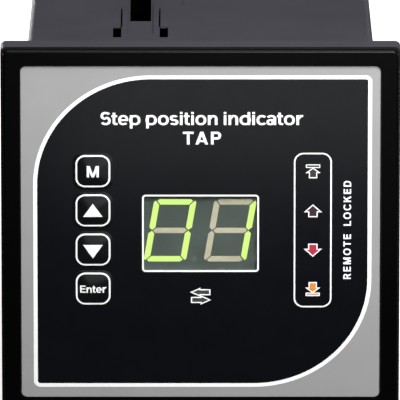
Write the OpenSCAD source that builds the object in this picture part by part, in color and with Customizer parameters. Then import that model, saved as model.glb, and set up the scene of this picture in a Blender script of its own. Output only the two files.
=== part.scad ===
// Panel-mount digital position indicator.
// The back of the bezel's flange lies on the panel at y = 0. +X is to the right of the front,
// +Z is up, and +Y runs into the panel, so the front faces -Y.

/* [Bezel] */
// Outside width and height of the bezel
bezel_w = 120; // [119:0.5:124]
// Corner radius of the bezel, seen from the front
bezel_r = 1.8; // [1.6:0.1:2.6]
// Depth of the flange between the panel and the front frame
flange_t = 4.9; // [4.6:0.1:6]
// Depth of the front frame
frame_t = 1.8; // [1.6:0.1:2]
// How far the front frame stands in from the flange's edge
frame_inset = 0.6; // [0.2:0.05:0.6]
// Radius of the front frame's outer edge
frame_edge = 0.8; // [0.5:0.1:1.2]
// Width and height of the opening in the front frame
frame_open = 109.1; // [108.8:0.1:110]

/* [Film front] */
// Width and height of the printed film
film_w = 108; // [107:0.1:108.4]
// Thickness of the film
film_t = 0.3; // [0.2:0.05:0.4]
// Corner radius of the film
film_r = 1.7; // [1:0.1:3]
// How far the film lies behind the front of the frame
film_recess = 1; // [0.8:0.05:1.1]
// Thickness of the plate that carries the film
plate_t = 1.4; // [1.4:0.1:2]

/* [Keys] */
// Width and height of one embossed key
key_w = 10.9; // [10:0.1:11]
// Corner radius of a key
key_r = 2.7; // [2:0.1:3]
// Distance between key centres
key_pitch = 12.8; // [12.6:0.1:13]
// Distance of the key column left of the centre
key_x = 32.4; // [31:0.1:33]
// Height of the middle of the key column above the centre
key_mid = 0.7; // [0:0.1:1.5]
// How far the middle of a key stands out of the film
key_rise = 0.5; // [0.5:0.05:0.7]
// Radius of the key's domed face
key_dome = 45; // [45:1:90]
// Travel of a key
key_travel = 0.5; // [0.3:0.1:0.6]

/* [Display] */
// Width of the window
window_w = 34.1; // [33:0.1:35]
// Height of the window
window_h = 24.1; // [23:0.1:25]
// Height of the window's centre
window_z = -0.4; // [-1:0.1:1]
// Depth of the display body
display_d = 8.4; // [8:0.1:9]
// Distance between the digits
digit_pitch = 18.1; // [17.8:0.1:18.3]
// Lean of the digits, in degrees
digit_lean = 9.3; // [0:0.1:10]

/* [Lamps] */
// Distance of the lamp column right of the centre
lamp_x = 33.8; // [33:0.1:35]
// Diameter of a lamp
lamp_d = 5; // [4.8:0.1:5]

/* [Case] */
// Width and height of the case at the panel
body_w = 105.2; // [104:0.1:106]
// Depth of the case behind the panel
body_depth = 104; // [100:1:110]
// Corner radius of the case
body_r = 2; // [1:0.1:2.4]
// Wall thickness
wall = 2.5; // [2.2:0.1:2.6]
// Taper of each side towards the back, in degrees
draft = 1.5; // [1:0.1:1.6]
// Distance of the top clamp station left of the centre
station_x = 18.1; // [16:0.1:22]
// Width of the clamp slot
slot_w = 6.3; // [5:0.1:7]

/* [Back] */
// Thickness of the rear cover
cover_t = 2.5; // [2:0.1:3]
// Number of poles of each terminal block
poles = 12; // [6:1:14]
// Distance between poles
pole_pitch = 5.08; // [5:0.01:5.08]

/* [Hidden] */
$fn = 64;

// Levels along the depth
y_ring = -flange_t;
y_front = y_ring - frame_t;
y_film = y_front + film_recess;
y_plate = y_film + film_t;
y_back = y_plate + plate_t;
y_board = y_back + display_d;
board_t = 1.6;
y_board_back = y_board + board_t;
y_ledge = 1;

// Key column from top to bottom
key_z = [for (i = [0:3]) key_mid + (1.5 - i) * key_pitch];
// Lamp column from top to bottom
lamp_z = [19.6, 6.9, -5.9, -18.8];
link_z = -21;

// Inside boards
board_z = 30;
board_half = 46;
board_y0 = y_board_back + 3;
board_y1 = 100;

// Terminal blocks
block_w = poles * pole_pitch + 0.6;
block_h = 12;
block_y0 = 92;
block_y1 = 114;
block_z0 = board_z + board_t;

slope = tan(draft);
post = 44;
boss = 42;

// ---- shared shapes ----

module rrect(w, h, r) {
  union() {
    square([w - 2 * r, h], center = true);
    square([w, h - 2 * r], center = true);
    for (sx = [-1, 1], sz = [-1, 1])
      translate([sx * (w / 2 - r), sz * (h / 2 - r)]) circle(r);
  }
}

// A flat outline in x and z, made solid from depth y0 to depth y1
module slab(y0, y1) {
  translate([0, y1, 0]) rotate([90, 0, 0]) linear_extrude(y1 - y0) children();
}

module rod(x, z, d, y0, y1) {
  translate([x, y1, z]) rotate([90, 0, 0]) cylinder(d = d, h = y1 - y0);
}

module block(x0, x1, y0, y1, z0, z1) {
  translate([x0, y0, z0]) cube([x1 - x0, y1 - y0, z1 - z0]);
}

// A square box that narrows towards the back by the case's taper
module tapered(w, r, y0, y1) {
  wa = w - 2 * y0 * slope;
  wb = w - 2 * y1 * slope;
  translate([0, y0, 0]) rotate([-90, 0, 0])
    linear_extrude(height = y1 - y0, scale = wb / wa) rrect(wa, wa, r, $fn = 32);
}

// Edge section of a plate whose front corners are rounded
module edge_section(w, e, t) {
  intersection() {
    union() {
      translate([-w / 2, e]) square([w, t - e]);
      translate([-w / 2 + e, 0]) square([w - 2 * e, t]);
      for (s = [-1, 1]) translate([s * (w / 2 - e), e]) circle(e);
    }
    translate([-w / 2 - 1, 0]) square([w + 2, t]);
  }
}

// A square plate with rounded corners and a rounded front edge
module soft_plate(w, r, e, y0, t) {
  translate([0, y0, 0]) union() {
    linear_extrude(w - 2 * r, center = true) edge_section(w, e, t);
    rotate([0, 90, 0]) linear_extrude(w - 2 * r, center = true) edge_section(w, e, t);
    for (sx = [-1, 1], sz = [-1, 1])
      translate([sx * (w / 2 - r), 0, sz * (w / 2 - r)]) rotate([-90, 0, 0])
        rotate_extrude() intersection() {
          edge_section(2 * r, e, t);
          square([r + 1, t]);
        }
  }
}

// Small screw along the depth: head from y0 outwards, shank inwards
module screw(x, z, y0, head_d, head_h, shank_d, shank_l) {
  difference() {
    union() {
      rod(x, z, head_d, y0, y0 + head_h);
      rod(x, z, shank_d, y0 - shank_l, y0 + 0.1);
    }
    block(x - 0.4, x + 0.4, y0 + head_h - 0.9, y0 + head_h + 1, z - 1.7, z + 1.7);
    block(x - 1.7, x + 1.7, y0 + head_h - 0.9, y0 + head_h + 1, z - 0.4, z + 0.4);
  }
}

// ---- case ----

// Openings of one clamp station, on the slope of the top wall
module station() {
  translate([-station_x, 0, body_w / 2]) rotate([-draft, 0, 0]) {
    block(-slot_w / 2, slot_w / 2, 37.4, 64, -8, 2);
    block(-slot_w / 2 - 0.75, slot_w / 2 + 0.75, 25, 68, -0.6, 2);
    block(-13, 13, 50, 80, -0.35, 2);
    for (s = [-1, 1]) {
      block(s * 7.05 - 1.25, s * 7.05 + 1.25, 22.2, 31.4, -8, 2);
      block(s * 7.05 - 1.9, s * 7.05 + 1.9, 21, 40, -8, -0.6);
      block(s * 5.75 - 0.25, s * 5.75 + 0.25, 31, 47.3, -8, 2);
    }
  }
}

// What stands inside the case: board guides and posts for the rear screws
module inner_ribs() {
  for (sx = [-1, 1], sz = [-1, 1]) {
    for (dz = [-1.65, 1.75])
      block(sx * 48 - 4, sx * 48 + 4, 12, 96,
            sz * (board_z + board_t / 2) + dz - 0.7 - 0.05, sz * (board_z + board_t / 2) + dz + 0.7 - 0.05);
    block(sx * (post + 3) - 6.5, sx * (post + 3) + 6.5, 78, body_depth, sz * (post + 3) - 6.5, sz * (post + 3) + 6.5);
  }
}

module housing() {
  color([0.07, 0.07, 0.08]) difference() {
    union() {
      slab(y_ring, 0) rrect(bezel_w, bezel_w, bezel_r);
      tapered(body_w, body_r, -1, body_depth);
    }
    difference() {
      tapered(body_w - 2 * wall, body_r, y_ledge, body_depth + 1);
      inner_ribs();
    }
    slab(y_ring - 1, y_ledge + 1) rrect(98, 98, 3);
    slab(y_ring - 1, y_back) rrect(frame_open, frame_open, film_r + 0.4);
    for (i = [-1, 0, 1], j = [-1, 0, 1]) if (i != 0 || j != 0)
      rod(i * (bezel_w / 2 - 2.7), j * (bezel_w / 2 - 2.7), 2.5, y_ring - 1, y_ring + 3.2);
    for (sx = [-1, 1], sz = [-1, 1])
      rod(sx * post, sz * post, 3, body_depth - 13, body_depth + 1);
    station();
    rotate([0, 180, 0]) station();
  }
}

module front_frame() {
  color([0.05, 0.05, 0.055]) union() {
    difference() {
      soft_plate(bezel_w - 2 * frame_inset, bezel_r, frame_edge, y_front, frame_t);
      slab(y_front - 1, y_ring + 1) rrect(frame_open, frame_open, film_r + 0.4);
    }
    for (i = [-1, 0, 1], j = [-1, 0, 1]) if (i != 0 || j != 0)
      rod(i * (bezel_w / 2 - 2.7), j * (bezel_w / 2 - 2.7), 2.4, y_ring - 0.5, y_ring + 3);
  }
}

module front_plate() {
  color([0.12, 0.12, 0.13]) difference() {
    union() {
      slab(y_plate, y_back) rrect(frame_open - 0.4, frame_open - 0.4, film_r + 0.2);
      for (sx = [-1, 1], sz = [-1, 1]) rod(sx * boss, sz * boss, 6.5, y_back - 0.2, y_board);
      for (a = [0:90:270]) rotate([0, a, 0]) {
        block(47.3, 48.7, y_back - 0.2, 3, -6, 6);
        block(48.6, 49.7, y_ledge + 0.1, 2.6, -6, 6);
      }
    }
    slab(y_plate - 1, y_back + 1) translate([0, window_z]) rrect(window_w + 0.8, window_h + 0.8, 1);
    for (z = key_z) slab(y_plate - 1, y_back + 1) translate([-key_x, z]) rrect(key_w + 0.4, key_w + 0.4, key_r + 0.2);
    for (z = lamp_z) rod(lamp_x, z, lamp_d + 0.6, y_plate - 1, y_back + 1);
    rod(0, link_z, lamp_d + 0.6, y_plate - 1, y_back + 1);
    for (sx = [-1, 1], sz = [-1, 1]) rod(sx * boss, sz * boss, 3, y_board - 6.5, y_board + 1);
  }
}

module front_film() {
  color([0.55, 0.56, 0.56]) difference() {
    slab(y_film, y_plate) rrect(film_w, film_w, film_r);
    slab(y_film - 1, y_plate + 1) translate([0, window_z]) rrect(window_w, window_h, 0.6);
    for (z = key_z) slab(y_film - 1, y_plate + 1) translate([-key_x, z]) rrect(key_w + 0.2, key_w + 0.2, key_r + 0.1);
  }
}

module display_window() {
  color([0.75, 0.8, 0.78, 0.4]) union() {
    slab(y_film, y_plate + 0.1) translate([0, window_z]) rrect(window_w - 0.2, window_h - 0.2, 0.5);
    slab(y_plate, y_back - 0.2) translate([0, window_z]) rrect(window_w + 0.6, window_h + 0.6, 0.9);
  }
}

// ---- keys ----

// Key with a domed face, and the stud that meets the plunger
module key_pad(i) {
  color([0.1, 0.11, 0.12]) union() {
    intersection() {
      slab(y_film - key_rise - 0.1, y_plate) translate([-key_x, key_z[i]]) rrect(key_w, key_w, key_r);
      translate([-key_x, y_film - key_rise + key_dome, key_z[i]]) sphere(r = key_dome, $fn = 360);
    }
    rod(-key_x, key_z[i], 5, y_plate - 0.1, y_plate + 1);
  }
}

module key_plunger(i) {
  color([0.25, 0.2, 0.16]) rod(-key_x, key_z[i], 3.5, y_plate + 1, y_board - 2.3);
}

module menu_key() key_pad(0);
module up_key() key_pad(1);
module down_key() key_pad(2);
module enter_key() key_pad(3);
module menu_plunger() key_plunger(0);
module up_plunger() key_plunger(1);
module down_plunger() key_plunger(2);
module enter_plunger() key_plunger(3);

module key_switches() {
  color([0.08, 0.08, 0.08]) for (z = key_z) difference() {
    block(-key_x - 3, -key_x + 3, y_board - 3.5, y_board, z - 3, z + 3);
    rod(-key_x, z, 3.6, y_board - 4, y_board - 2.3 + key_travel + 0.3);
  }
}

// ---- display ----

seg_w = 11;      // between the middles of the side segments
seg_h = 9.3;     // from the middle segment to the top segment
seg_t = 0.9;     // half of a segment's thickness
display_z = -0.1;
digit_z = 0.15;
digit_x = [-9.15, -9.15 + digit_pitch];
lean = tan(digit_lean);

seg_a = [[-4.85, seg_h + seg_t], [4.6, seg_h + seg_t], [5.35, seg_h + seg_t - 0.6], [4.3, seg_h - seg_t], [-4.3, seg_h - seg_t], [-5.4, seg_h + seg_t - 0.6]];
seg_b = [[5.5, 0.15], [6.4, 1], [6.4, 9.1], [5.95, 9.75], [4.6, 8.25], [4.6, 1]];
seg_g = [[-5.1, 0], [-4.25, 0.85], [4.25, 0.85], [5.1, 0], [4.25, -0.85], [-4.25, -0.85]];

// Segments of one digit by letter: a top, b and c right, d bottom, e and f left, g middle
function turned(pts, sx, sz) = [for (p = pts) [sx * p.x, sz * p.y]];
function segment(s) =
  s == "a" ? seg_a :
  s == "b" ? seg_b :
  s == "c" ? turned(seg_b, 1, -1) :
  s == "d" ? turned(seg_a, 1, -1) :
  s == "e" ? turned(seg_b, -1, -1) :
  s == "f" ? turned(seg_b, -1, 1) : seg_g;

module segment_shape(d, s) {
  translate([digit_x[d], digit_z]) polygon([for (p = segment(s)) [p.x + lean * p.y, p.y]]);
}

module point_shape(d) {
  translate([digit_x[d] + 7.25, digit_z - 9.3]) circle(d = 1.85);
}

module display_case() {
  color([0.3, 0.36, 0.33]) difference() {
    slab(y_back, y_board) translate([0, display_z]) square([37.5, 27.7], center = true);
    slab(y_back - 1, y_back + 1.2) {
      for (d = [0, 1], s = ["a", "b", "c", "d", "e", "f", "g"]) segment_shape(d, s);
      for (d = [0, 1]) point_shape(d);
    }
  }
}

module lit_segments() {
  color([0.85, 1, 0.54]) slab(y_back, y_back + 1.2) {
    for (s = ["a", "b", "c", "d", "e", "f"]) segment_shape(0, s);
    for (s = ["b", "c"]) segment_shape(1, s);
  }
}

module unlit_segments() {
  color([0.72, 0.71, 0.6]) slab(y_back, y_back + 1.2) {
    segment_shape(0, "g");
    for (s = ["a", "d", "e", "f", "g"]) segment_shape(1, s);
    for (d = [0, 1]) point_shape(d);
  }
}

module display_pins() {
  color([0.75, 0.75, 0.72]) for (i = [-4:4], s = [-1, 1])
    rod(i * 2.54, display_z + s * 11.43, 0.5, y_board, y_board_back + 1.6);
}

// ---- lamps ----

lamp_tip = y_back - 0.7;
lamp_end = y_board - 1;

module lamp(x, z) {
  translate([x, lamp_end, z]) rotate([90, 0, 0]) rotate_extrude() union() {
    square([lamp_d / 2 + 0.4, 1]);
    square([lamp_d / 2, lamp_end - lamp_tip - lamp_d / 2]);
    intersection() {
      translate([0, lamp_end - lamp_tip - lamp_d / 2]) circle(lamp_d / 2);
      square([lamp_d, 2 * lamp_d]);
    }
  }
  for (s = [-1, 1]) rod(x + s * 1.27, z, 0.5, lamp_end, y_board_back + 1.6);
}

module led_upper_limit() color([0.5, 0.48, 0.45]) lamp(lamp_x, lamp_z[0]);
module led_raise() color([0.5, 0.42, 0.44]) lamp(lamp_x, lamp_z[1]);
module led_lower() color([0.88, 0.24, 0.3]) lamp(lamp_x, lamp_z[2]);
module led_lower_limit() color([0.98, 0.63, 0.3]) lamp(lamp_x, lamp_z[3]);
module led_link() color([0.4, 0.42, 0.42]) lamp(0, link_z);

// ---- boards ----

module display_board() {
  color([0.1, 0.35, 0.18]) difference() {
    slab(y_board, y_board_back) square(94, center = true);
    for (sx = [-1, 1], sz = [-1, 1]) rod(sx * boss, sz * boss, 3.4, y_board - 1, y_board_back + 1);
    for (i = [-4:4], s = [-1, 1]) rod(i * 2.54, display_z + s * 11.43, 0.9, y_board - 1, y_board_back + 1);
    for (z = lamp_z, s = [-1, 1]) rod(lamp_x + s * 1.27, z, 0.9, y_board - 1, y_board_back + 1);
    for (s = [-1, 1]) rod(s * 1.27, link_z, 0.9, y_board - 1, y_board_back + 1);
  }
}

module display_board_screws() {
  color([0.7, 0.7, 0.7]) for (sx = [-1, 1], sz = [-1, 1])
    screw(sx * boss, sz * boss, y_board_back, 5.5, 2, 2.9, 7);
}

module upper_board_connector() {
  color([0.08, 0.08, 0.08]) block(-15, 15, y_board_back, y_board_back + 8, board_z - 2.6, board_z);
}

module lower_board_connector() {
  color([0.08, 0.08, 0.08]) block(-15, 15, y_board_back, y_board_back + 8, -board_z, -board_z + 2.6);
}

module upper_board() {
  color([0.1, 0.35, 0.18]) block(-board_half, board_half, board_y0, board_y1, board_z, board_z + board_t);
}

module lower_board() {
  color([0.1, 0.35, 0.18]) block(-board_half, board_half, board_y0, board_y1, -board_z - board_t, -board_z);
}

module power_transformer() {
  color([0.12, 0.15, 0.3]) union() {
    block(-38, 4, 30, 66, -board_z, -board_z + 30);
    block(-35, 1, 33, 63, -board_z + 29, -board_z + 33);
  }
}

module relays() {
  color([0.85, 0.85, 0.82]) for (x = [10, 28], y = [46, 70])
    block(x, x + 15.5, y, y + 20, -board_z, -board_z + 15);
}

module capacitors() {
  color([0.1, 0.12, 0.2]) for (x = [16, 34])
    translate([x, 30, -board_z]) cylinder(d = 12.5, h = 20);
}

module controller_chip() {
  color([0.06, 0.06, 0.06]) block(-7, 7, 40, 54, board_z - 1.6, board_z);
}

module input_isolators() {
  color([0.07, 0.07, 0.07]) for (i = [-2:2])
    block(i * 13 - 3.25, i * 13 + 3.25, 68, 82, board_z - 3.5, board_z);
}

// ---- back ----

// Block with one wire entry and one screw well for each pole
module terminal_block() {
  difference() {
    block(-block_w / 2, block_w / 2, block_y0, block_y1, block_z0, block_z0 + block_h);
    for (i = [0:poles - 1]) translate([(i - (poles - 1) / 2) * pole_pitch, 0, 0]) {
      block(-1.5, 1.5, block_y1 - 9, block_y1 + 1, block_z0 + 3, block_z0 + 6);
      translate([0, block_y1 - 3.7, block_z0 + block_h - 4.5]) cylinder(d = 3.6, h = 6);
    }
  }
}

module terminal_screw_row() {
  for (i = [0:poles - 1]) translate([(i - (poles - 1) / 2) * pole_pitch, block_y1 - 3.7, block_z0 + block_h - 4.5])
    difference() {
      cylinder(d = 3.4, h = 3);
      translate([-2, -0.3, 2]) cube([4, 0.6, 2]);
    }
}

module upper_terminal_block() color([0.1, 0.42, 0.24]) terminal_block();
module lower_terminal_block() color([0.1, 0.42, 0.24]) rotate([0, 180, 0]) terminal_block();

module terminal_screws() {
  color([0.72, 0.72, 0.7]) {
    terminal_screw_row();
    rotate([0, 180, 0]) terminal_screw_row();
  }
}

cover_w = body_w - 2 * body_depth * slope;
cover_lip = cover_w / 2 - wall - 0.25;

module rear_cover() {
  color([0.08, 0.08, 0.085]) difference() {
    union() {
      slab(body_depth, body_depth + cover_t) rrect(cover_w, cover_w, body_r);
      for (a = [0:90:270]) rotate([0, a, 0])
        block(cover_lip - 1.8, cover_lip, body_depth - 3, body_depth + 0.5, -34, 34);
    }
    for (s = [-1, 1]) slab(body_depth - 1, body_depth + cover_t + 1)
      translate([0, s * (block_z0 + block_h / 2)]) square([block_w + 0.6, block_h + 0.6], center = true);
    for (sx = [-1, 1], sz = [-1, 1]) rod(sx * post, sz * post, 3.4, body_depth - 1, body_depth + cover_t + 1);
    for (i = [-5:5]) slab(body_depth - 1, body_depth + cover_t + 1) translate([i * 5.5, 0]) rrect(2, 30, 0.9);
  }
}

module rear_cover_screws() {
  color([0.7, 0.7, 0.7]) for (sx = [-1, 1], sz = [-1, 1])
    screw(sx * post, sz * post, body_depth + cover_t, 5.5, 2, 2.9, 12);
}

// ---- assembly ----

housing();
front_frame();
front_plate();
front_film();
display_window();
menu_key();
up_key();
down_key();
enter_key();
menu_plunger();
up_plunger();
down_plunger();
enter_plunger();
key_switches();
display_case();
lit_segments();
unlit_segments();
display_pins();
led_upper_limit();
led_raise();
led_lower();
led_lower_limit();
led_link();
display_board();
display_board_screws();
upper_board_connector();
lower_board_connector();
upper_board();
lower_board();
power_transformer();
relays();
capacitors();
controller_chip();
input_isolators();
upper_terminal_block();
lower_terminal_block();
terminal_screws();
rear_cover();
rear_cover_screws();
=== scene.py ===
import math

import bmesh
import bpy
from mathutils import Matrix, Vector
from mathutils.geometry import delaunay_2d_cdt


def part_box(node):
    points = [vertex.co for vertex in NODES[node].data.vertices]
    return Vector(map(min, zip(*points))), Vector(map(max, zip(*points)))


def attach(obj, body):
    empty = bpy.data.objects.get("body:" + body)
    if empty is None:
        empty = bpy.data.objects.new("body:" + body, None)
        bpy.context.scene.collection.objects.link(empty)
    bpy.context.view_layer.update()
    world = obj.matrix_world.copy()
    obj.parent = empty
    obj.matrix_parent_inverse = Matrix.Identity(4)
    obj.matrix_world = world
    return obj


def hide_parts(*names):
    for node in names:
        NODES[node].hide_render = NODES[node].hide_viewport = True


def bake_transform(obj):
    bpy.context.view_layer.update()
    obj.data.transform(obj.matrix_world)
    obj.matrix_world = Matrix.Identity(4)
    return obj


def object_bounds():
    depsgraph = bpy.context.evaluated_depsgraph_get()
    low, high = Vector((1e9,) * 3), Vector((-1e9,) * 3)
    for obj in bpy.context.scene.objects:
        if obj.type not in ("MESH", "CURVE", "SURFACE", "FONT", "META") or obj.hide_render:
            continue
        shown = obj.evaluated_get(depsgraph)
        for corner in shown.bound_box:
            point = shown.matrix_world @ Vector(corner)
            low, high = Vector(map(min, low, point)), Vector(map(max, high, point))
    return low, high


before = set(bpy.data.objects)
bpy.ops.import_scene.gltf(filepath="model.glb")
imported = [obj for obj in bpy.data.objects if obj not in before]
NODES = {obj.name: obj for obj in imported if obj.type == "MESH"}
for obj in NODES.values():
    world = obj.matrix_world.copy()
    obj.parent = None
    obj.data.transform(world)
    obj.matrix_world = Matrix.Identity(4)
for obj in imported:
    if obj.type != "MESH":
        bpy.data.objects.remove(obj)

CAD_LO, CAD_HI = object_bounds()
MM = 0.001
SCENE = bpy.context.scene

# The printed front lies on the front of the film. Lengths below are in millimetres from its centre:
# x to the right, z up, h out of the film.
Y_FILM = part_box("front_film")[0].y / MM
# Front of the flange, which the front frame covers all but a narrow step of
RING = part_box("housing")[0].y
# Face of the display
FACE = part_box("unlit_segments")[0].y
# Inner face of the rear cover, which the terminals stand through
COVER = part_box("rear_cover")[0].y


# ---------------------------------------------------------------- flat shapes

def arc(cx, cz, r, a0, a1, n):
    return [(cx + r * math.cos(math.radians(a0 + (a1 - a0) * i / n)),
             cz + r * math.sin(math.radians(a0 + (a1 - a0) * i / n))) for i in range(n + 1)]


def rounded(x0, x1, z0, z1, r, n=10):
    """Rectangle with corner radii r, or (top right, top left, bottom left, bottom right)."""
    tr, tl, bl, br = r if isinstance(r, tuple) else (r, r, r, r)

    def corner(cx, cz, rad, a):
        k = max(n, int(rad * 1.3))
        return arc(cx, cz, rad, a, a + 90, k)

    return (corner(x1 - tr, z1 - tr, tr, 0) + corner(x0 + tl, z1 - tl, tl, 90)
            + corner(x0 + bl, z0 + bl, bl, 180) + corner(x1 - br, z0 + br, br, 270))


def band(x0, x1, z0, z1, r, stroke, n=10):
    """The two edges of a line of that stroke, which runs inside the rectangle."""
    rr = r if isinstance(r, tuple) else (r, r, r, r)
    inner = tuple(max(v - stroke, 0.15) for v in rr)
    return [rounded(x0, x1, z0, z1, rr, n),
            rounded(x0 + stroke, x1 - stroke, z0 + stroke, z1 - stroke, inner, n)]


def area2(pts):
    return sum(a[0] * b[1] - b[0] * a[1] for a, b in zip(pts, pts[1:] + pts[:1])) / 2


def inset(pts, d):
    """The polygon moved in by d, with mitred corners."""
    if area2(pts) < 0:
        pts = pts[::-1]
    out = []
    for a, b, c in zip(pts[-1:] + pts[:-1], pts, pts[1:] + pts[:1]):
        e0 = Vector((b[0] - a[0], b[1] - a[1])).normalized()
        e1 = Vector((c[0] - b[0], c[1] - b[1])).normalized()
        n0, n1 = Vector((-e0.y, e0.x)), Vector((-e1.y, e1.x))
        m = n0 + n1
        k = d / max(0.25, m.dot(n0))
        out.append((b[0] + m.x * k, b[1] + m.y * k))
    return out


def inside(p, contours):
    odd = False
    for c in contours:
        for a, b in zip(c, c[1:] + c[:1]):
            if (a[1] > p[1]) != (b[1] > p[1]) and p[0] < a[0] + (p[1] - a[1]) * (b[0] - a[0]) / (b[1] - a[1]):
                odd = not odd
    return odd


def grid(x0, x1, z0, z1, step):
    nx, nz = max(1, int((x1 - x0) / step)), max(1, int((z1 - z0) / step))
    return [(x0 + (i + 0.5) * (x1 - x0) / nx, z0 + (j + 0.5) * (z1 - z0) / nz) for i in range(nx) for j in range(nz)]


def split(pts, step):
    """The outline with points no further apart than step."""
    out = []
    for a, b in zip(pts, pts[1:] + pts[:1]):
        k = max(1, int(math.hypot(b[0] - a[0], b[1] - a[1]) / step))
        out += [(a[0] + (b[0] - a[0]) * i / k, a[1] + (b[1] - a[1]) * i / k) for i in range(k)]
    return out


def fill(contours, extra=()):
    """Triangles between closed outlines, where an outline inside another is a hole."""
    pts, edges = [], []
    for c in contours:
        s = len(pts)
        pts += [Vector(p) for p in c]
        edges += [(s + i, s + (i + 1) % len(c)) for i in range(len(c))]
    pts += [Vector(p) for p in extra]
    verts, _, faces, *_ = delaunay_2d_cdt(pts, edges, [], 0, 1e-5)
    flat = [(v.x, v.y) for v in verts]
    kept = []
    for f in faces:
        t = [flat[i] for i in f]
        if abs(area2(t)) < 1e-7:
            continue
        if inside((sum(p[0] for p in t) / 3, sum(p[1] for p in t) / 3), contours):
            kept.append(tuple(f) if area2(t) > 0 else tuple(reversed(f)))
    return flat, kept


def join(shapes, step=None):
    """Triangles of everything that at least one of the shapes covers, with points step apart inside."""
    pts, edges = [], []
    for contours in shapes:
        for c in contours:
            k = len(pts)
            pts += [Vector(p) for p in c]
            edges += [(k + i, k + (i + 1) % len(c)) for i in range(len(c))]
    if step:
        for contours in shapes:
            for c in contours:
                xs, zs = [q[0] for q in c], [q[1] for q in c]
                pts += [Vector(q) for q in grid(min(xs), max(xs), min(zs), max(zs), step) if inside(q, contours)]
    verts, _, faces, *_ = delaunay_2d_cdt(pts, edges, [], 0, 1e-4)
    flat = [(v.x, v.y) for v in verts]
    kept = []
    for f in faces:
        t = [flat[i] for i in f]
        mid = (sum(p[0] for p in t) / 3, sum(p[1] for p in t) / 3)
        if abs(area2(t)) > 1e-7 and any(inside(mid, c) for c in shapes):
            kept.append(tuple(f) if area2(t) > 0 else tuple(reversed(f)))
    return flat, kept


def front(x, z, h):
    return Vector((x * MM, (Y_FILM - h) * MM, z * MM))


class Sheet:
    """Thin closed slabs that share one object, as one pass of ink does."""

    def __init__(self, place=front):
        self.bm = bmesh.new()
        self.place = place

    def add(self, flat, faces, h0, h1, height=None):
        used = sorted({i for f in faces for i in f})
        base = {i: (height(*flat[i]) if height else 0.0) for i in used}
        top = {i: self.bm.verts.new(self.place(flat[i][0], flat[i][1], base[i] + h1)) for i in used}
        low = {i: self.bm.verts.new(self.place(flat[i][0], flat[i][1], base[i] + h0)) for i in used}
        count = {}
        for f in faces:
            for a, b in zip(f, f[1:] + f[:1]):
                count[(a, b)] = count.get((a, b), 0) + 1
        for f in faces:
            self.bm.faces.new([top[i] for i in f])
            self.bm.faces.new([low[i] for i in reversed(f)])
        for a, b in count:
            if (b, a) not in count:
                self.bm.faces.new([top[b], top[a], low[a], low[b]])
        return self

    def shape(self, contours, h0, h1, height=None, extra=()):
        return self.add(*fill(contours, extra), h0, h1, height)

    def object(self, name, material):
        mesh = bpy.data.meshes.new(name)
        self.bm.normal_update()
        self.bm.to_mesh(mesh)
        self.bm.free()
        obj = bpy.data.objects.new(name, mesh)
        SCENE.collection.objects.link(obj)
        mesh.materials.append(material)
        return obj


def letters(body, cap, x, z, width=None, bold=0.0, spacing=1.0, turn=False):
    """Flat letters: cap is the height of a capital, (x, z) the middle of the base line."""

    def flat_mesh(s):
        cu = bpy.data.curves.new("letters", "FONT")
        cu.body, cu.size, cu.offset, cu.space_character, cu.resolution_u = s, 1.0, bold, spacing, 5
        cu.fill_mode = "FRONT"
        ob = bpy.data.objects.new("letters", cu)
        SCENE.collection.objects.link(ob)
        dg = bpy.context.evaluated_depsgraph_get()
        me = bpy.data.meshes.new_from_object(ob.evaluated_get(dg))
        bm = bmesh.new()
        bm.from_mesh(me)
        bmesh.ops.remove_doubles(bm, verts=bm.verts, dist=1e-5)
        bmesh.ops.triangulate(bm, faces=bm.faces)
        bm.verts.index_update()
        pts = [(v.co.x, v.co.y) for v in bm.verts]
        tris = [tuple(v.index for v in f.verts) for f in bm.faces]
        bm.free()
        bpy.data.objects.remove(ob)
        bpy.data.curves.remove(cu)
        bpy.data.meshes.remove(me)
        return pts, tris

    ref, _ = flat_mesh("H")
    k = cap / (max(p[1] for p in ref) - min(p[1] for p in ref))
    base = min(p[1] for p in ref)
    pts, tris = flat_mesh(body)
    x0, x1 = min(p[0] for p in pts), max(p[0] for p in pts)
    kx = width / (x1 - x0) if width else k
    out = [((p[0] - (x0 + x1) / 2) * kx, (p[1] - base) * k) for p in pts]
    if turn:
        out = [(-b, a) for a, b in out]
    out = [(a + x, b + z) for a, b in out]
    good = []
    for f in tris:
        s = area2([out[i] for i in f])
        if abs(s) > 1e-7:
            good.append(f if s > 0 else tuple(reversed(f)))
    return out, good


# Bold letters are joined from bars and bowls. Their units are the height of a capital.

def bowl(cx, cz, rx, rz, t, h, a0=0, a1=360):
    """Part of a round stroke, t wide at its sides and h at its top and bottom."""

    def edge_of(sx, sz, b0, b1):
        n = max(6, int(abs(b1 - b0) / 12))
        out = []
        for i in range(n + 1):
            a = math.radians(b0 + (b1 - b0) * i / n)
            c, q = math.cos(a), math.sin(a)
            out.append((cx + sx * math.copysign(abs(c) ** 0.88, c), cz + sz * math.copysign(abs(q) ** 0.88, q)))
        return out

    if a1 - a0 >= 360:
        return [edge_of(rx, rz, 0, 360)[:-1], edge_of(rx - t, rz - h, 0, 360)[:-1]]
    return [edge_of(rx, rz, a0, a1) + edge_of(rx - t, rz - h, a1, a0)]


def bar(x0, x1, z0, z1):
    return [[(x0, z0), (x1, z0), (x1, z1), (x0, z1)]]


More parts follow.
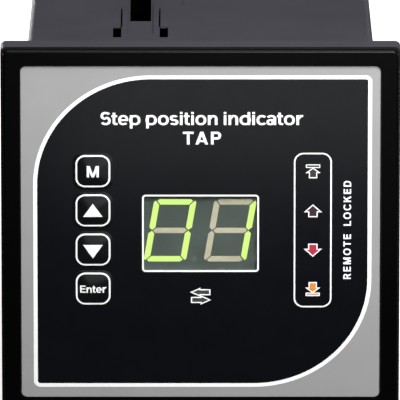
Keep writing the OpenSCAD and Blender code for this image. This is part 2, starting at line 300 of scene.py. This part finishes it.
def glyph(c, t, h):
    """Width, room at the left and right, and strokes of one letter."""
    x = 0.755
    m = x / 2
    if c == "S":
        return 0.74, 0.04, 0.04, [bowl(0.37, 0.705, 0.36, 0.305, t, h, 28, 270),
                                  bowl(0.37, 0.395 - h / 2, 0.37, 0.405 - h / 2, t, h, -152, 90),
                                  ]
    if c == "s":
        k = h * 0.9
        r = (x + k) / 4
        return 0.63, 0.03, 0.03, [bowl(0.315, x - r + 0.005, 0.305, r, t, k, 28, 270),
                                  bowl(0.315, r - 0.005, 0.315, r, t, k, -152, 90)]
    if c == "T":
        return 0.78, 0.02, 0.02, [bar(0, 0.78, 1 - h, 1), bar(0.39 - t / 2, 0.39 + t / 2, 0, 1)]
    if c == "A":
        w, k = 0.92, 0.56 * t
        return w, 0.0, 0.0, [[[(0, 0), (2 * k, 0), (w / 2 + k, 1), (w / 2 - k, 1)]],
                             [[(w, 0), (w / 2 + k, 1), (w / 2 - k, 1), (w - 2 * k, 0)]],
                             bar(0.2, w - 0.2, 0.19, 0.19 + h * 0.9)]
    if c in "PR":
        w, r = 0.74, 0.305
        parts = [bar(0, t, 0, 1), bar(0, w - r, 1 - h, 1), bar(0, w - r, 1 - 2 * r, 1 - 2 * r + h),
                 bowl(w - r, 1 - r, r, r, t, h, -90, 90)]
        if c == "R":
            parts.append([[(0.30, 0.46), (0.30 + 1.15 * t, 0.46), (0.81, 0), (0.81 - 1.2 * t, 0)]])
            return 0.81, 0.09, 0.0, parts
        return w, 0.09, 0.02, parts
    if c == "E":
        return 0.70, 0.09, 0.04, [bar(0, t, 0, 1), bar(0, 0.70, 1 - h, 1), bar(0, 0.70, 0, h),
                                  bar(0, 0.66, 0.515 - h / 2, 0.515 + h / 2)]
    if c == "M":
        w, k = 0.99, 0.5 * t
        return w, 0.09, 0.09, [bar(0, t, 0, 1), bar(w - t, w, 0, 1),
                               [[(0, 1), (w / 2 - k, 0), (w / 2 + k, 0), (1.3 * t, 1)]],
                               [[(w, 1), (w - 1.3 * t, 1), (w / 2 - k, 0), (w / 2 + k, 0)]]]
    if c == "O":
        return 0.96, 0.045, 0.045, [bowl(0.48, 0.5, 0.48, 0.515, t, h)]
    if c == "L":
        return 0.68, 0.09, 0.03, [bar(0, t, 0, 1), bar(0, 0.68, 0, h)]
    if c == "C":
        return 0.88, 0.045, 0.03, [bowl(0.475, 0.5, 0.475, 0.515, t, h, 36, 324)]
    if c == "K":
        return 0.88, 0.09, 0.0, [bar(0, t, 0, 1), [[(t - 0.02, 0.32), (0.86, 1), (0.58, 1), (t - 0.02, 0.61)]],
                                 [[(0.31, 0.55), (0.60, 0), (0.88, 0), (0.47, 0.70)]]]
    if c == "D":
        w, r = 0.84, 0.45
        return w, 0.09, 0.045, [bar(0, t, 0, 1), bar(0, w - r, 1 - h, 1), bar(0, w - r, 0, h),
                                bowl(w - r, 0.5, r, 0.5, t, h, -90, 90)]
    if c == "t":
        return 0.44, 0.01, 0.02, [bar(0.09, 0.09 + t, 0.18, 0.95), bar(0, 0.42, x - 0.15, x),
                                  bowl(0.36, 0.2, 0.27, 0.205, t, 0.155, 180, 272), bar(0.35, 0.44, -0.005, 0.15)]
    if c == "e":
        return 0.73, 0.035, 0.035, [bowl(0.365, m, 0.365, m + 0.012, t, h * 0.9, 0, 318),
                                    bar(0.07, 0.728, m - 0.07, m + 0.06)]
    if c == "p":
        return 0.76, 0.075, 0.04, [bar(0, t, -0.27, x), bowl(0.355, m, 0.405, m + 0.012, t, h * 0.95)]
    if c == "d":
        return 0.76, 0.04, 0.075, [bar(0.76 - t, 0.76, 0, 1), bowl(0.405, m, 0.405, m + 0.012, t, h * 0.95)]
    if c == "o":
        return 0.78, 0.04, 0.04, [bowl(0.39, m, 0.39, m + 0.012, t, h * 0.95)]
    if c == "c":
        return 0.67, 0.04, 0.02, [bowl(0.385, m, 0.385, m + 0.012, t, h * 0.95, 42, 318)]
    if c == "i":
        return t, 0.08, 0.08, [bar(0, t, 0, x), bar(0, t, 0.85, 1.01)]
    if c == "n":
        w, r = 0.69, 0.31
        return w, 0.075, 0.07, [bar(0, t, 0, x), bar(w - t, w, 0, x - r + 0.02),
                                bowl(w - r, x - r + 0.012, r, r, t, h * 0.95, 0, 180)]
    if c == "r":
        return 0.47, 0.075, 0.0, [bar(0, t, 0, x), bowl(0.38, x - 0.31 + 0.012, 0.30, 0.31, t, h * 1.05, 68, 180)]
    if c == "a":
        w = 0.70
        return w, 0.03, 0.05, [bar(w - t - 0.01, w - 0.01, 0, 0.52),
                               bowl(w / 2 - 0.005, x - 0.27, w / 2 - 0.005, 0.282, t, h * 0.9, 0, 155),
                               bowl(0.27, 0.218, 0.27, 0.23, t * 0.95, h * 0.8),
                               bar(0.27, w - t, 0.448 - h * 0.8, 0.448)]
    raise ValueError("no strokes for that letter")


def words(body, cap, x, z, width, t=0.215, h=0.18, space=0.30, turn=False, step=None):
    """Bold letters of that height and total width; (x, z) is the middle of the base line."""
    placed, at, last = [], 0.0, None
    for c in body:
        if c == " ":
            at, last = at + space, None
            continue
        w, left, right, strokes = glyph(c, t, h)
        at += left if placed else 0.0
        placed.append((at, strokes))
        at += w + right
        last = right
    total = (at - last) * cap
    extra = (width - total) / max(1, len(placed) - 1)
    flat, faces = [], []
    for i, (at, strokes) in enumerate(placed):
        shapes = [[[((px + at) * cap + i * extra - width / 2, pz * cap) for px, pz in c] for c in s] for s in strokes]
        if step:
            shapes = [[split(c, step) for c in s] for s in shapes]
        f, t3 = join(shapes, step)
        k = len(flat)
        flat += f
        faces += [tuple(k + j for j in tri) for tri in t3]
    if turn:
        flat = [(-b, a) for a, b in flat]
    return [(a + x, b + z) for a, b in flat], faces


# ---------------------------------------------------------------- materials

def material(name, base, rough, spec=0.5, vary=0.06, vary_scale=45.0, rough_vary=0.04, grain=0.0,
             grain_scale=2200.0, grain_depth=0.00003, metal=0.0, glow=None, glow_power=0.0, stretch=None,
             fleck=None, fleck_scale=900.0, fleck_share=0.62, face=None, painted_shade_y=0.0, spots=(), spot=None):
    """A surface with cloudy tone, uneven gloss and fine grain. Scales are per metre."""
    m = bpy.data.materials.new(name)
    m.use_nodes = True
    nt = m.node_tree
    nt.nodes.clear()
    out = nt.nodes.new("ShaderNodeOutputMaterial")
    sh = nt.nodes.new("ShaderNodeBsdfPrincipled")
    nt.links.new(sh.outputs["BSDF"], out.inputs["Surface"])
    tc = nt.nodes.new("ShaderNodeTexCoord")
    coord = tc.outputs["Object"]
    if stretch:
        mp = nt.nodes.new("ShaderNodeMapping")
        mp.inputs["Scale"].default_value = stretch
        nt.links.new(coord, mp.inputs["Vector"])
        coord = mp.outputs["Vector"]

    def noise(scale, detail=3.0, rough_n=0.55):
        n = nt.nodes.new("ShaderNodeTexNoise")
        n.inputs["Scale"].default_value = scale
        n.inputs["Detail"].default_value = detail
        n.inputs["Roughness"].default_value = rough_n
        nt.links.new(coord, n.inputs["Vector"])
        return n.outputs["Fac"]

    def ramp(fac, stops):
        r = nt.nodes.new("ShaderNodeValToRGB")
        el = r.color_ramp.elements
        el[0].position, el[0].color = stops[0][0], (*stops[0][1], 1)
        el[1].position, el[1].color = stops[1][0], (*stops[1][1], 1)
        for p, c in stops[2:]:
            e = el.new(p)
            e.color = (*c, 1)
        nt.links.new(fac, r.inputs["Fac"])
        return r.outputs["Color"]

    dark = tuple(c * (1 - vary) for c in base)
    light = tuple(min(1.0, c * (1 + vary)) for c in base)
    colour = ramp(noise(vary_scale), [(0.32, dark), (0.68, light)])
    if fleck:
        mix = nt.nodes.new("ShaderNodeMix")
        mix.data_type = "RGBA"
        mask = ramp(noise(fleck_scale, 2.0), [(fleck_share, (0, 0, 0)), (min(1.0, fleck_share + 0.1), (1, 1, 1))])
        nt.links.new(mask, mix.inputs["Factor"])
        nt.links.new(colour, mix.inputs["A"])
        mix.inputs["B"].default_value = (*fleck, 1)
        colour = mix.outputs["Result"]
    if face:
        # painted shade: everything in front of the depth given takes the darker colour face instead
        xyz = nt.nodes.new("ShaderNodeSeparateXYZ")
        nt.links.new(tc.outputs["Object"], xyz.inputs["Vector"])
        less = nt.nodes.new("ShaderNodeMath")
        less.operation = "LESS_THAN"
        less.inputs[1].default_value = painted_shade_y
        nt.links.new(xyz.outputs["Y"], less.inputs[0])
        mix = nt.nodes.new("ShaderNodeMix")
        mix.data_type = "RGBA"
        nt.links.new(less.outputs["Value"], mix.inputs["Factor"])
        nt.links.new(colour, mix.inputs["A"])
        mix.inputs["B"].default_value = (*face, 1)
        colour = mix.outputs["Result"]
    for place in spots:
        # a round place of its own colour, 1.3 mm across each way
        far = nt.nodes.new("ShaderNodeVectorMath")
        far.operation = "DISTANCE"
        nt.links.new(tc.outputs["Object"], far.inputs[0])
        far.inputs[1].default_value = place
        less = nt.nodes.new("ShaderNodeMath")
        less.operation = "LESS_THAN"
        less.inputs[1].default_value = 0.0013
        nt.links.new(far.outputs["Value"], less.inputs[0])
        mix = nt.nodes.new("ShaderNodeMix")
        mix.data_type = "RGBA"
        nt.links.new(less.outputs["Value"], mix.inputs["Factor"])
        nt.links.new(colour, mix.inputs["A"])
        mix.inputs["B"].default_value = (*spot, 1)
        colour = mix.outputs["Result"]
    nt.links.new(colour, sh.inputs["Base Color"])
    mr = nt.nodes.new("ShaderNodeMapRange")
    mr.inputs["To Min"].default_value = max(0.02, rough - rough_vary)
    mr.inputs["To Max"].default_value = min(1.0, rough + rough_vary)
    nt.links.new(noise(vary_scale * 3.1, 4.0), mr.inputs["Value"])
    nt.links.new(mr.outputs["Result"], sh.inputs["Roughness"])
    sh.inputs["Specular IOR Level"].default_value = spec
    sh.inputs["Metallic"].default_value = metal
    if grain:
        b = nt.nodes.new("ShaderNodeBump")
        b.inputs["Strength"].default_value = grain
        b.inputs["Distance"].default_value = grain_depth
        nt.links.new(noise(grain_scale, 3.0, 0.6), b.inputs["Height"])
        nt.links.new(b.outputs["Normal"], sh.inputs["Normal"])
    if glow:
        dim = tuple(c * 0.94 for c in glow)
        nt.links.new(ramp(noise(vary_scale * 4), [(0.35, dim), (0.65, glow)]), sh.inputs["Emission Color"])
        sh.inputs["Emission Strength"].default_value = glow_power
    return m


def glass(name, tint, rough):
    m = bpy.data.materials.new(name)
    m.use_nodes = True
    nt = m.node_tree
    sh = nt.nodes["Principled BSDF"]
    tc = nt.nodes.new("ShaderNodeTexCoord")
    n = nt.nodes.new("ShaderNodeTexNoise")
    n.inputs["Scale"].default_value = 120.0
    nt.links.new(tc.outputs["Object"], n.inputs["Vector"])
    r = nt.nodes.new("ShaderNodeValToRGB")
    r.color_ramp.elements[0].color = (*(c * 0.985 for c in tint), 1)
    r.color_ramp.elements[1].color = (*tint, 1)
    nt.links.new(n.outputs["Fac"], r.inputs["Fac"])
    nt.links.new(r.outputs["Color"], sh.inputs["Base Color"])
    sh.inputs["Transmission Weight"].default_value = 1.0
    sh.inputs["Roughness"].default_value = rough
    sh.inputs["IOR"].default_value = 1.49
    return m


M = {
    # the front face of the flange, the narrow step beside the front frame, is painted near black: painted shade
    "case": material("case_moulding", (0.0265, 0.0258, 0.0325), 0.52, 0.32, vary=0.09, vary_scale=38,
                     grain=0.22, grain_scale=2100, grain_depth=0.00004,
                     face=(0.0012, 0.0012, 0.0014), painted_shade_y=RING + 0.00004),
    "cover": material("cover_moulding", (0.026, 0.026, 0.028), 0.50, 0.35, vary=0.09, vary_scale=40,
                      grain=0.25, grain_scale=1900, grain_depth=0.00004),
    "frame": material("frame_moulding", (0.0007, 0.0007, 0.0009), 0.30, 0.10, vary=0.10, vary_scale=50,
                      rough_vary=0.05, grain=0.10, grain_scale=2600, grain_depth=0.00002),
    "plate": material("plate_moulding", (0.012, 0.012, 0.013), 0.5, 0.3, grain=0.15),
    "film": material("film_grey_print", (0.285, 0.286, 0.284), 0.50, 0.25, vary=0.025, vary_scale=90,
                     rough_vary=0.05, grain=0.10, grain_scale=5200, grain_depth=0.00002),
    "ink_black": material("film_black_print", (0.0014, 0.0020, 0.0033), 0.20, 0.48, vary=0.12, vary_scale=70,
                          rough_vary=0.04, grain=0.06, grain_scale=5200, grain_depth=0.00002),
    "ink_white": material("film_white_print", (0.87, 0.875, 0.87), 0.5, 0.25, vary=0.02, vary_scale=600, grain=0.05,
                          grain_scale=5200),
    "key": material("key_black_print", (0.0014, 0.0020, 0.0027), 0.20, 0.64, vary=0.12, vary_scale=90,
                    rough_vary=0.04, grain=0.06, grain_scale=5200, grain_depth=0.00002),
    "window": glass("window_clear", (0.97, 0.985, 0.975), 0.02),
    "display": material("display_face", (0.029, 0.038, 0.033), 0.5, 0.3, vary=0.12, vary_scale=70, grain=0.1),
    "seg_on": material("segment_lit", (0.08, 0.12, 0.03), 0.45, 0.3, glow=(0.60, 0.86, 0.20), glow_power=1.0,
                       vary_scale=200),
    "seg_off": material("segment_unlit", (0.240, 0.225, 0.160), 0.5, 0.3, vary=0.06, vary_scale=330, grain=0.08,
                        spots=((-0.0019, FACE, -0.00915), (0.0162, FACE, -0.00915)), spot=(0.047, 0.055, 0.047)),
    "lamp": material("lamp_lens", (0.35, 0.33, 0.30), 0.3, 0.5, vary=0.1, vary_scale=300),
    "lamp_red": material("lamp_lens_red", (0.50, 0.03, 0.04), 0.3, 0.5, glow=(1.0, 0.05, 0.07), glow_power=0.6),
    "lamp_orange": material("lamp_lens_orange", (0.60, 0.22, 0.03), 0.3, 0.5, glow=(1.0, 0.36, 0.06), glow_power=0.6),
    "arrow_off": material("arrow_unlit", (0.041, 0.037, 0.034), 0.45, 0.3, vary=0.15, vary_scale=500),
    "arrow_off2": material("arrow_unlit_red", (0.038, 0.021, 0.026), 0.45, 0.3, vary=0.15, vary_scale=500),
    "arrow_red": material("arrow_lit_red", (0.12, 0.012, 0.02), 0.45, 0.3, vary_scale=500,
                          glow=(0.45, 0.019, 0.041), glow_power=1.0),
    "arrow_orange": material("arrow_lit_orange", (0.12, 0.05, 0.015), 0.45, 0.3, vary_scale=500,
                             glow=(0.74, 0.25, 0.044), glow_power=1.0),
    "bar_orange": material("bar_lit_orange", (0.38, 0.26, 0.21), 0.45, 0.3, vary_scale=500,
                           glow=(0.5, 0.30, 0.22), glow_power=0.35),
    "link": material("link_unlit", (0.042, 0.044, 0.044), 0.45, 0.3, vary=0.2, vary_scale=600),
    "switch": material("switch_black", (0.015, 0.015, 0.015), 0.45, 0.4, grain=0.1),
    "plunger": material("plunger_brown", (0.09, 0.055, 0.03), 0.4, 0.4, grain=0.08),
    "tin": material("tinned_pins", (0.62, 0.61, 0.58), 0.32, 0.5, metal=1.0, vary=0.08, vary_scale=500),
    "steel": material("plated_screws", (0.55, 0.55, 0.53), 0.30, 0.5, metal=1.0, vary=0.10, vary_scale=700,
                      rough_vary=0.08, grain=0.12, grain_scale=3000),
    "board": material("board_green", (0.0026, 0.0075, 0.0040), 0.45, 0.25, vary=0.2, vary_scale=140,
                      fleck=(0.004, 0.012, 0.006), fleck_scale=420),
    # the upper and lower boards are painted near black instead of green: painted shade inside the case
    "board_painted_shade": material("board_green_painted_shade", (0.0006, 0.0011, 0.0009), 0.6, 0.08, vary=0.2, vary_scale=140,
                           fleck=(0.0009, 0.0016, 0.0012), fleck_scale=420),
    "core": material("transformer_core", (0.05, 0.045, 0.04), 0.45, 0.5, metal=0.3, vary=0.15,
                     vary_scale=60, stretch=(1, 1, 14)),
    "relay": material("relay_white", (0.55, 0.55, 0.52), 0.4, 0.45, vary=0.04, grain=0.08),
    "sleeve": material("capacitor_sleeve", (0.02, 0.028, 0.07), 0.3, 0.5, vary=0.08, grain=0.05),
    "chip": material("chip_black", (0.012, 0.012, 0.013), 0.42, 0.4, vary=0.12, grain=0.12),
    # the part of the terminal blocks inside the case, in front of the rear cover's inner face, is painted near black:
    # painted shade
    "terminal": material("terminal_green", (0.030, 0.155, 0.055), 0.42, 0.45, vary=0.07, vary_scale=60,
                         grain=0.14, grain_scale=2400, face=(0.0012, 0.0025, 0.0016), painted_shade_y=COVER),
}

FINISH = {
    "housing": "case", "front_frame": "frame", "front_plate": "plate", "front_film": "film",
    "display_window": "window", "menu_key": "key", "up_key": "key", "down_key": "key", "enter_key": "key",
    "menu_plunger": "plunger", "up_plunger": "plunger", "down_plunger": "plunger", "enter_plunger": "plunger",
    "key_switches": "switch", "display_case": "display", "lit_segments": "seg_on", "unlit_segments": "seg_off",
    "display_pins": "tin", "led_upper_limit": "lamp", "led_raise": "lamp", "led_lower": "lamp_red",
    "led_lower_limit": "lamp_orange", "led_link": "lamp", "display_board": "board",
    "display_board_screws": "steel", "upper_board_connector": "switch", "lower_board_connector": "switch",
    "upper_board": "board_painted_shade", "lower_board": "board_painted_shade", "power_transformer": "core", "relays": "relay",
    "capacitors": "sleeve", "controller_chip": "chip", "input_isolators": "chip",
    "upper_terminal_block": "terminal", "lower_terminal_block": "terminal", "terminal_screws": "steel",
    "rear_cover": "cover", "rear_cover_screws": "steel",
}
for node_name, obj in NODES.items():
    obj.data.materials.clear()
    obj.data.materials.append(M[FINISH[node_name]])
NODES["display_window"].visible_shadow = False


# ---------------------------------------------------------------- print on the film

KEY_X = -32.4
KEYS = [("menu", 19.9), ("up", 7.1), ("down", -5.7), ("enter", -18.5)]
INK = 0.02          # the black ink stands this far out of the film
LINE0, LINE1 = 0.008, 0.032

field = (-50.35, 51.5, -50.75, 51.07)
field_r = (1.8, 35.5, 2.1, 35.5)
edge = 0.6

black = Sheet()
holes = [rounded(-17.2, 17.2, -12.6, 11.8, 0.8)]
holes += [rounded(KEY_X - 5.85, KEY_X + 5.85, z - 5.85, z + 5.85, 3.0) for _, z in KEYS]
black.shape([rounded(field[0] + edge, field[1] - edge, field[2] + edge, field[3] - edge,
                     tuple(max(r - edge, 0.3) for r in field_r), 12)] + holes, 0.0, INK)
black = black.object("film_black_field", M["ink_black"])
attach(black, "case")

white = Sheet()
white.shape(band(*field, field_r, 1.2, 12), LINE0, LINE1)
white.shape(band(-17.58, 17.6, -12.98, 12.27, 1.1, 0.51), LINE0, LINE1)
white.shape(band(28.08, 39.5, -24.58, 25.95, 3.0, 0.46), LINE0, LINE1)
white.add(*words("Step position indicator", 4.2, 0.35, 35.0, 60.8, 0.19, 0.16), LINE0, LINE1)
white.add(*words("TAP", 4.15, 0.45, 28.66, 11.5, 0.20, 0.17), LINE0, LINE1)
white.add(*words("REMOTE LOCKED", 2.27, 45.3, 0.75, 32.1, 0.205, 0.18, space=0.9, turn=True), LINE0, LINE1)
white = white.object("film_white_lines", M["ink_white"])
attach(white, "case")


def arrow(cx, tip, wing_z, wing, stem, end):
    """Block arrow from tip to end, with half widths wing and stem."""
    return [(cx, tip), (cx - wing, wing_z), (cx - stem, wing_z), (cx - stem, end),
            (cx + stem, end), (cx + stem, wing_z), (cx + wing, wing_z)]


def side_arrow(tip_x, cz, head_x, head, stem, end_x):
    return [(tip_x, cz), (head_x, cz + head), (head_x, cz + stem), (end_x, cz + stem),
            (end_x, cz - stem), (head_x, cz - stem), (head_x, cz - head)]


def badge(name, shapes, strokes, fills):
    """White outlined symbols with their coloured insides."""
    lines = Sheet()
    for i, (s, stroke) in enumerate(zip(shapes, strokes)):
        lines.shape([s, inset(s, stroke)], LINE0, LINE1 + 0.002 * i)
    o = lines.object(name + "_outline", M["ink_white"])
    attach(o, "case")
    for i, (s, stroke, f) in enumerate(zip(shapes, strokes, fills)):
        inner = Sheet().shape([inset(s, stroke * 0.8)], LINE0, LINE1 - 0.006 + 0.001 * i)
        o = inner.object(f"{name}_inside_{i + 1}", M[f])
        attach(o, "case")


bar_up = rounded(31.68, 35.98, 21.02, 22.16, 0.16, 4)
bar_down = rounded(31.68, 35.98, -20.88, -19.74, 0.16, 4)
badge("upper_limit_symbol", [bar_up, arrow(33.83, 21.14, 19.34, 2.3, 1.26, 17.66)], (0.27, 0.33),
      ["arrow_off", "arrow_off"])
badge("raise_symbol", [arrow(33.83, 9.13, 6.54, 2.78, 1.42, 4.95)], (0.34,), ["arrow_off2"])
badge("lower_symbol", [arrow(33.83, -8.03, -5.37, 2.78, 1.42, -3.71)], (0.34,), ["arrow_red"])
badge("lower_limit_symbol", [bar_down, arrow(33.83, -20.0, -18.08, 2.3, 1.26, -16.3)], (0.27, 0.33),
      ["bar_orange", "arrow_orange"])
badge("link_symbol", [side_arrow(-3.2, -19.62, 0.0, 1.5, 0.98, 2.98), side_arrow(3.22, -22.16, 0.0, 1.55, 1.0, -2.87)],
      (0.36, 0.36), ["link", "link"])


# ---------------------------------------------------------------- keys

CROWN, RISE0, RISE1 = 5.4, 0.12, 0.50


def reach(u, v):
    """Half size of the rounded square, as round as a key, that passes through (u, v)."""
    a, b = max(abs(u), abs(v)), min(abs(u), abs(v))
    return a if b <= a / 2 else 2 * (a + b - math.sqrt(2 * a * b))


def pillow(u, v):
    return RISE0 + (RISE1 - RISE0) * (1 - (reach(u, v) / CROWN) ** 2)


def key_skin(name, kz):
    bm = bmesh.new()
    levels = [(5.30, -0.60), (5.42, -0.60), (5.45, -0.05), (6.20, 0.004), (6.14, 0.012), (6.02, 0.024), (5.93, 0.031), (5.84, 0.040),
              (5.70, 0.062), (5.58, 0.085), (5.49, 0.103), (5.40, 0.120)]
    levels += [(s, pillow(s, 0)) for s in (5.28, 5.1, 4.8, 4.4, 3.9, 3.3, 2.6, 1.8, 1.0, 0.4)]
    n = 12
    rings = []
    for s, h in levels:
        pts = rounded(-s, s, -s, s, s / 2, n)
        # points along the straight sides as well, so that the crown shades evenly
        full = []
        for p, q in zip(pts, pts[1:] + pts[:1]):
            full.append(p)
            if math.hypot(q[0] - p[0], q[1] - p[1]) > s * 0.5:
                full += [(p[0] + (q[0] - p[0]) * t, p[1] + (q[1] - p[1]) * t) for t in (0.2, 0.4, 0.6, 0.8)]
        rings.append([bm.verts.new(front(KEY_X + u, kz + v, h)) for u, v in full])
    for j, (a, b) in enumerate(zip(rings, rings[1:])):
        k = len(a)
        for i in range(k):
            # the rim runs out under the ink, and everything from there to the top is smooth
            bm.faces.new([a[i], a[(i + 1) % k], b[(i + 1) % k], b[i]]).smooth = j >= 4
    top = bm.verts.new(front(KEY_X, kz, RISE1))
    last, first = rings[-1], rings[0]
    for i in range(len(last)):
        bm.faces.new([last[i], last[(i + 1) % len(last)], top]).smooth = True
    bm.faces.new(list(reversed(first)))
    bmesh.ops.recalc_face_normals(bm, faces=bm.faces)
    mesh = bpy.data.meshes.new(name)
    bm.to_mesh(mesh)
    bm.free()
    obj = bpy.data.objects.new(name, mesh)
    SCENE.collection.objects.link(obj)
    mesh.materials.append(M["key"])
    return obj


def key_print(key, kz):
    crown = lambda x, z: pillow(x - KEY_X, z - kz)
    ring = Sheet()
    o, i = band(KEY_X - 5.19, KEY_X + 5.29, kz - 5.10, kz + 5.36, 2.95, 0.53)
    ring.shape([split(o, 0.5), split(i, 0.5)], -0.03, 0.014, crown)
    mark = Sheet()
    if key == "menu":
        mark.add(*words("M", 3.68, KEY_X, kz - 1.78, 3.58, 0.195, 0.2, step=0.4), -0.03, 0.016, crown)
    elif key == "enter":
        mark.add(*words("Enter", 2.36, KEY_X + 0.05, kz - 1.12, 7.86, 0.195, 0.16, step=0.4), -0.03, 0.016, crown)
    else:
        s = 1 if key == "up" else -1
        tip, base = (9.48, 5.22) if key == "up" else (-8.40, -3.96)
        tri = [(KEY_X, tip), (KEY_X - 2.96, base), (KEY_X + 2.96, base)]
        if s < 0:
            tri = tri[::-1]
        inner = [p for p in grid(KEY_X - 3, KEY_X + 3, min(tip, base), max(tip, base), 0.6)
                 if inside(p, [inset(tri, 0.25)])]
        mark.shape([split(tri, 0.5)], -0.03, 0.016, crown, inner)
    return ring.object(key + "_key_outline", M["ink_white"]), mark.object(key + "_key_mark", M["ink_white"])


for key, kz in KEYS:
    skin = key_skin(key + "_key_skin", kz)
    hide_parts(key + "_key")
    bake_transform(skin)
    for o in key_print(key, kz):
        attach(o, key + "_button")


# ---------------------------------------------------------------- numbers at the terminals

def back(y):
    """Places print on a face that looks along +Y at depth y, read from behind."""
    return lambda x, z, h: Vector((-x * MM, (y + h) * MM, z * MM))


cover_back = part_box("rear_cover")[1].y / MM
block_lo, block_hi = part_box("upper_terminal_block")
poles = 12
pitch = 5.08
numbers = Sheet(back(cover_back))
for row, z in ((0, block_lo.z / MM - 3.6), (1, -block_lo.z / MM + 1.7)):
    for i in range(poles):
        x = (i - (poles - 1) / 2) * pitch
        numbers.add(*letters(str(1 + i + poles * row), 1.9, x, z, bold=0.010), -0.02, 0.03)
numbers = numbers.object("terminal_numbers", M["ink_white"])
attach(numbers, "case")


# ---------------------------------------------------------------- floor, light, camera

floor_mesh = bpy.data.meshes.new("floor")
bm = bmesh.new()
bmesh.ops.create_grid(bm, x_segments=1, y_segments=1, size=6.0)
bm.to_mesh(floor_mesh)
bm.free()
floor = bpy.data.objects.new("floor", floor_mesh)
floor.location = (0, 0, CAD_LO.z - 0.0002)
SCENE.collection.objects.link(floor)
floor_mesh.materials.append(material("floor_paper", (0.90, 0.90, 0.90), 0.8, 0.1, vary=0.01, vary_scale=8,
                                     glow=(1.0, 1.0, 1.0), glow_power=0.5))
floor.visible_glossy = False
floor.visible_diffuse = False
floor.visible_transmission = False

world = bpy.data.worlds.new("studio")
SCENE.world = world
world.use_nodes = True
wn = world.node_tree
bg = wn.nodes["Background"]
lp = wn.nodes.new("ShaderNodeLightPath")
mr = wn.nodes.new("ShaderNodeMapRange")
mr.inputs["To Min"].default_value = 0.06
mr.inputs["To Max"].default_value = 1.0
wn.links.new(lp.outputs["Is Camera Ray"], mr.inputs["Value"])
wn.links.new(mr.outputs["Result"], bg.inputs["Strength"])
bg.inputs["Color"].default_value = (1, 1, 1, 1)


def softbox(name, place, target, width, height, power):
    light = bpy.data.lights.new(name, "AREA")
    light.shape, light.size, light.size_y, light.energy = "RECTANGLE", width, height, power
    obj = bpy.data.objects.new(name, light)
    SCENE.collection.objects.link(obj)
    obj.location = place
    obj.rotation_mode = "QUATERNION"
    obj.rotation_quaternion = (Vector(target) - Vector(place)).to_track_quat("-Z", "Y")
    obj.visible_camera = False
    return obj


softbox("front_box", (0.115, -0.27, 0.26), (0, 0, 0.0), 0.24, 0.24, 3.1)
softbox("top_box", (0.0, 0.10, 1.10), (0, 0.05, 0), 1.3, 1.3, 14.0)
softbox("low_card", (0.15, -0.46, -0.052), (0.15, -0.35, 0.30), 0.40, 0.34, 0.30)
# low strips behind and beside the case light its back and sides, and not its top or its front
strips = [
    softbox("back_strip", (-0.20, 0.95, -0.017), (0, 0.11, -0.010), 0.9, 0.074, 5.0),
    softbox("left_strip", (-0.90, 0.34, -0.017), (-0.05, 0.06, -0.010), 0.5, 0.074, 2.5),
    softbox("right_strip", (0.90, 0.34, -0.017), (0.05, 0.06, -0.010), 0.5, 0.074, 2.5)]
# the floor takes no light from the strips
unlit = bpy.data.collections.new("strips_leave_out")
unlit.objects.link(floor)
for item in unlit.collection_objects:
    item.light_linking.link_state = "EXCLUDE"
for strip in strips:
    strip.light_linking.receiver_collection = unlit

cam_data = bpy.data.cameras.new("camera")
cam = bpy.data.objects.new("camera", cam_data)
SCENE.collection.objects.link(cam)
SCENE.camera = cam
cam_data.sensor_width = 36.0
cam_data.lens = 1400.0
cam_data.clip_start, cam_data.clip_end = 0.1, 60.0
tilt = math.radians(22.9)
look = Vector((0, math.cos(tilt), -math.sin(tilt)))
up = Vector((0, math.sin(tilt), math.cos(tilt)))
aim = Vector((-0.15 * MM, Y_FILM * MM, 0)) + up * (9.72 * MM)
cam.location = aim - look * 4.683
cam.rotation_mode = "QUATERNION"
cam.rotation_quaternion = look.to_track_quat("-Z", "Y")

SCENE.view_settings.view_transform = "Standard"
